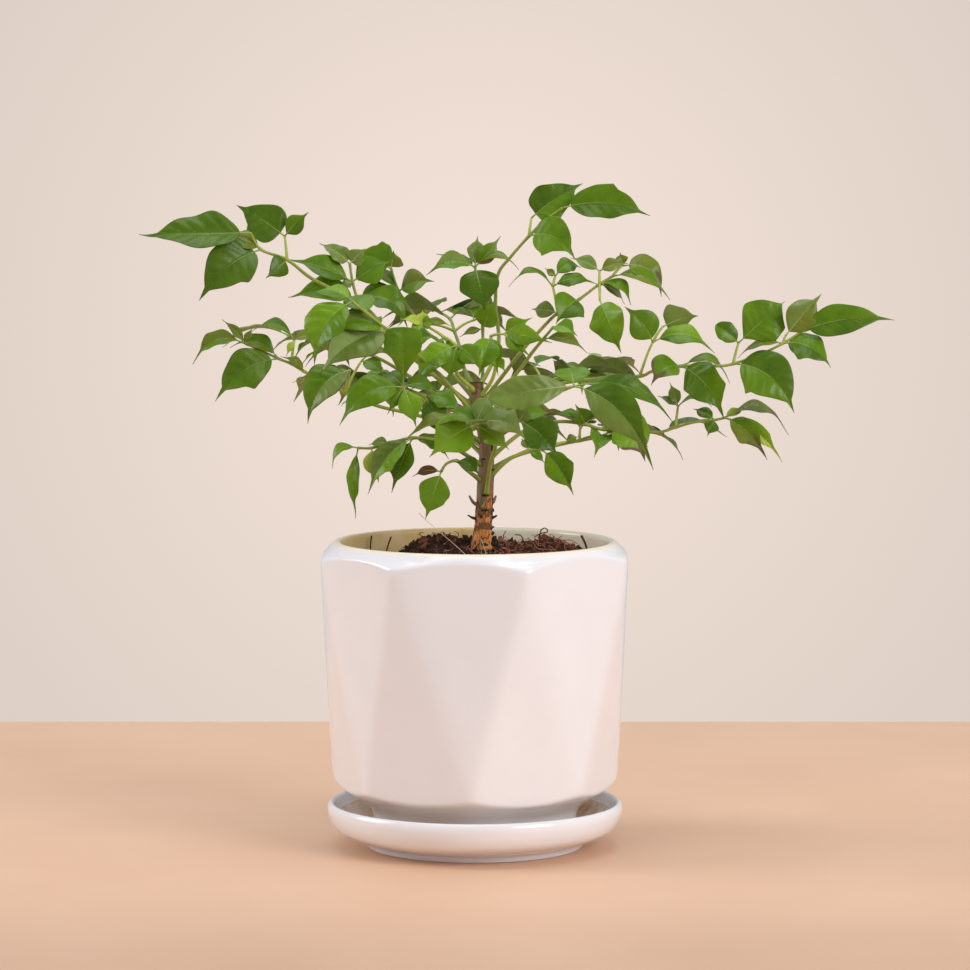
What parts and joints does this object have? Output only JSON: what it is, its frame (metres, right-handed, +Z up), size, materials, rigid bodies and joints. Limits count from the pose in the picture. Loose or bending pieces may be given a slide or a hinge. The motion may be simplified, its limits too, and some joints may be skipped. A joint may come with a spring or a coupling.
{
  "type": "potted china doll plant",
  "caption": "Small evergreen houseplant with a short trunk and spreading compound leaves in a faceted white glazed pot on a matching saucer.",
  "frame": {"origin": "centre of the saucer's flat underside, where the plant stands", "axes": "+Z up along the trunk, -Y towards the front that the picture shows, +X to the viewer's right along the crown's longest spread"},
  "size_m": [0.292, 0.1978, 0.2586],
  "materials": {
    "white_glaze": "gloss",
    "potting_soil": "matt, crumbly coir",
    "bark": "rough",
    "stem_green": "satin",
    "leaf_green": "semi-gloss"
  },
  "bodies": {
    "root": {"pot": "white_glaze", "saucer": "white_glaze", "soil": "potting_soil", "trunk": "bark", "petiole_left_high": "stem_green", "foliage_left_high": "leaf_green", "petiole_left_mid": "stem_green", "foliage_left_mid": "leaf_green", "petiole_left_top": "stem_green", "foliage_left_top": "leaf_green", "petiole_left_top_back": "stem_green", "foliage_left_top_back": "leaf_green", "petiole_young": "stem_green", "foliage_young": "leaf_green", "petiole_centre_top": "stem_green", "foliage_centre_top": "leaf_green", "petiole_centre": "stem_green", "foliage_centre": "leaf_green", "petiole_top": "stem_green", "foliage_top": "leaf_green", "petiole_right_top": "stem_green", "foliage_right_top": "leaf_green", "petiole_right_second": "stem_green", "foliage_right_second": "leaf_green", "petiole_right_long": "stem_green", "foliage_right_long": "leaf_green", "petiole_right_low": "stem_green", "foliage_right_low": "leaf_green", "petiole_front_right": "stem_green", "foliage_front_right": "leaf_green", "petiole_front_centre": "stem_green", "foliage_front_centre": "leaf_green", "petiole_right_front_low": "stem_green", "foliage_right_front_low": "leaf_green", "petiole_front_left": "stem_green", "foliage_front_left": "leaf_green", "petiole_left_front_mid": "stem_green", "foliage_left_front_mid": "leaf_green", "petiole_left_low": "stem_green", "foliage_left_low": "leaf_green", "petiole_low_drop": "stem_green", "foliage_low_drop": "leaf_green", "petiole_low_right": "stem_green", "foliage_low_right": "leaf_green", "petiole_back_right": "stem_green", "foliage_back_right": "leaf_green", "petiole_back_left_high": "stem_green", "foliage_back_left_high": "leaf_green", "petiole_back_left": "stem_green", "foliage_back_left": "leaf_green", "petiole_back_high": "stem_green", "foliage_back_high": "leaf_green", "petiole_back_low": "stem_green", "foliage_back_low": "leaf_green", "petiole_back_right_high": "stem_green", "foliage_back_right_high": "leaf_green", "petiole_back_right_side": "stem_green", "foliage_back_right_side": "leaf_green", "petiole_back_left_low": "stem_green", "foliage_back_left_low": "leaf_green"}
  },
  "joints": []
}
